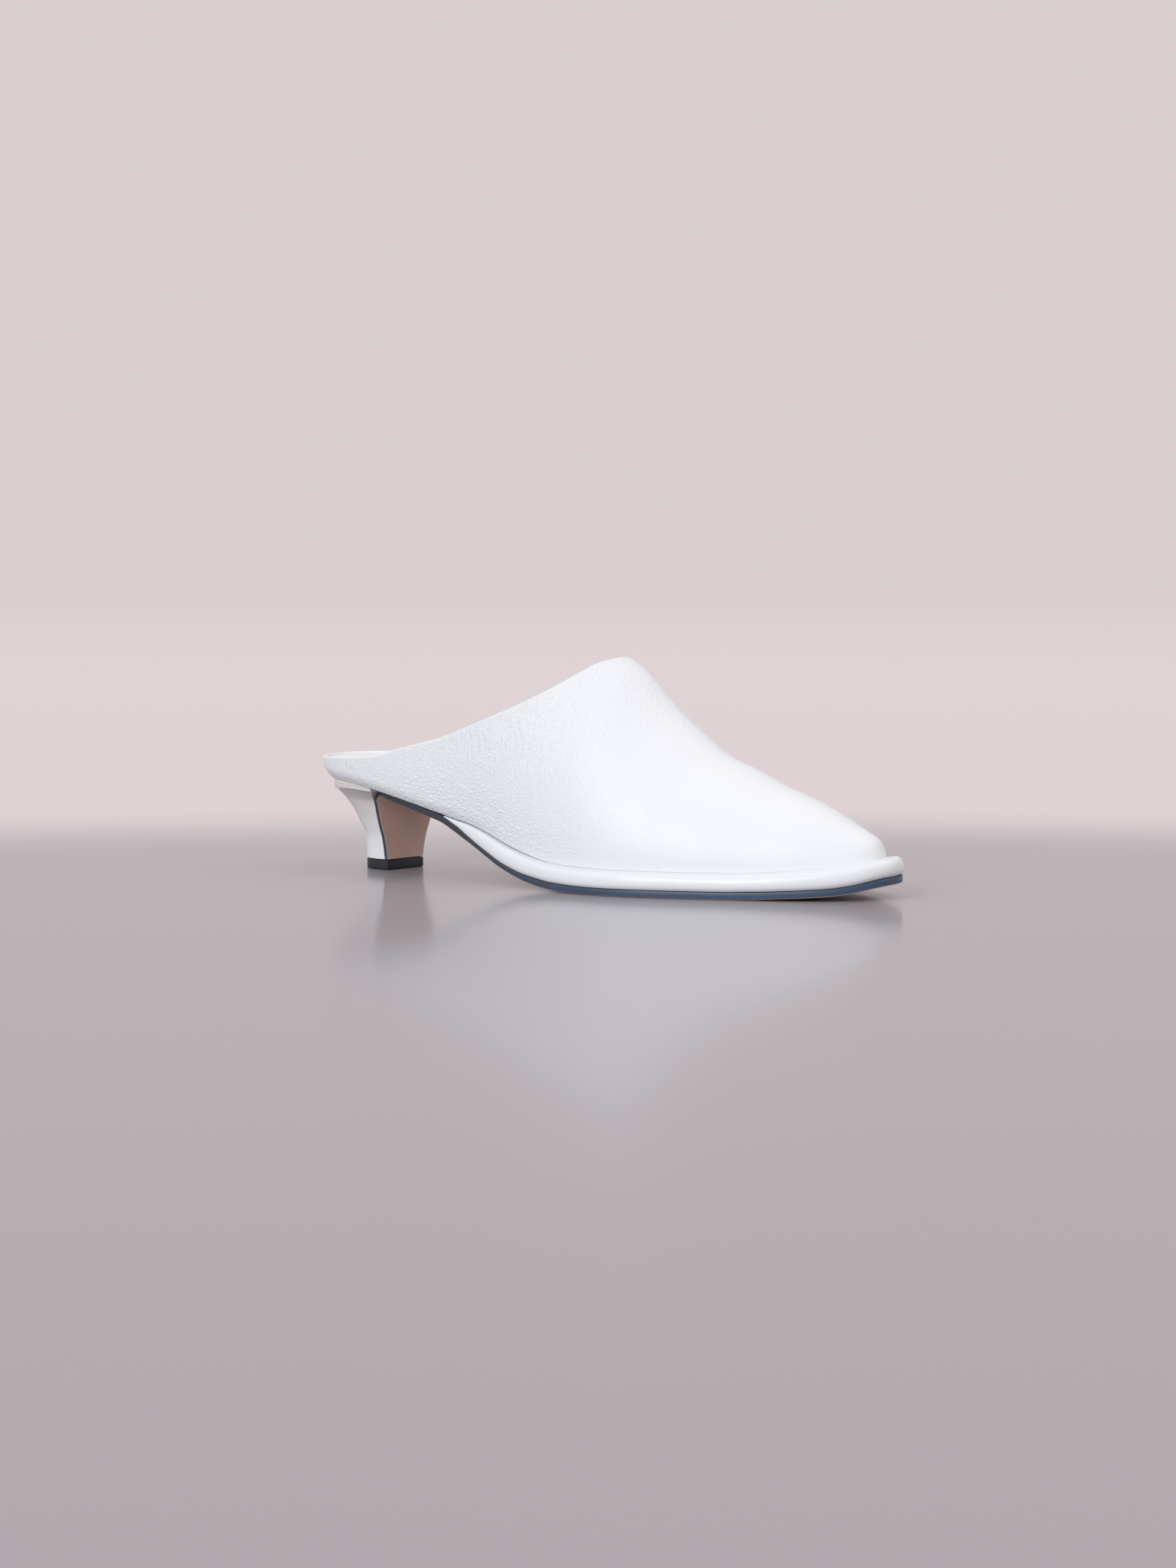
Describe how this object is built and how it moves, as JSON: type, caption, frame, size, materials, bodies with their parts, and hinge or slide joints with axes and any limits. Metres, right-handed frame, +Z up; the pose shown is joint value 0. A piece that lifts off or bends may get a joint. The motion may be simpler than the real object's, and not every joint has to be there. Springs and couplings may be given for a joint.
{
  "type": "kitten heel mule",
  "caption": "Backless closed-toe right shoe with a leather upper, wrapped platform edge, thin dark sole and a low flared kitten heel.",
  "frame": {"origin": "on the floor, under the middle of the shoe's outer box", "axes": "+X towards the toe, +Y towards the inner side of the right foot, +Z up"},
  "size_m": [0.2584, 0.0866, 0.0867],
  "materials": {
    "upper_leather": "white pebbled leather, smooth over the toe",
    "insole_lining": "smooth white lining leather",
    "wrapped_rand": "smooth white leather wrap, soft gloss",
    "sole_leather": "tan sole leather with a dark slate-blue painted edge",
    "seat_leather": "pale stacked seat leather",
    "heel_cover": "white leather-covered heel, glossy",
    "tip_rubber": "dark matt rubber"
  },
  "bodies": {
    "root": {"upper": "upper_leather", "insole": "insole_lining", "midsole_rand": "wrapped_rand", "outsole": "sole_leather", "heel_seat_rand": "seat_leather", "heel": "heel_cover", "heel_top_piece": "tip_rubber"}
  },
  "joints": []
}
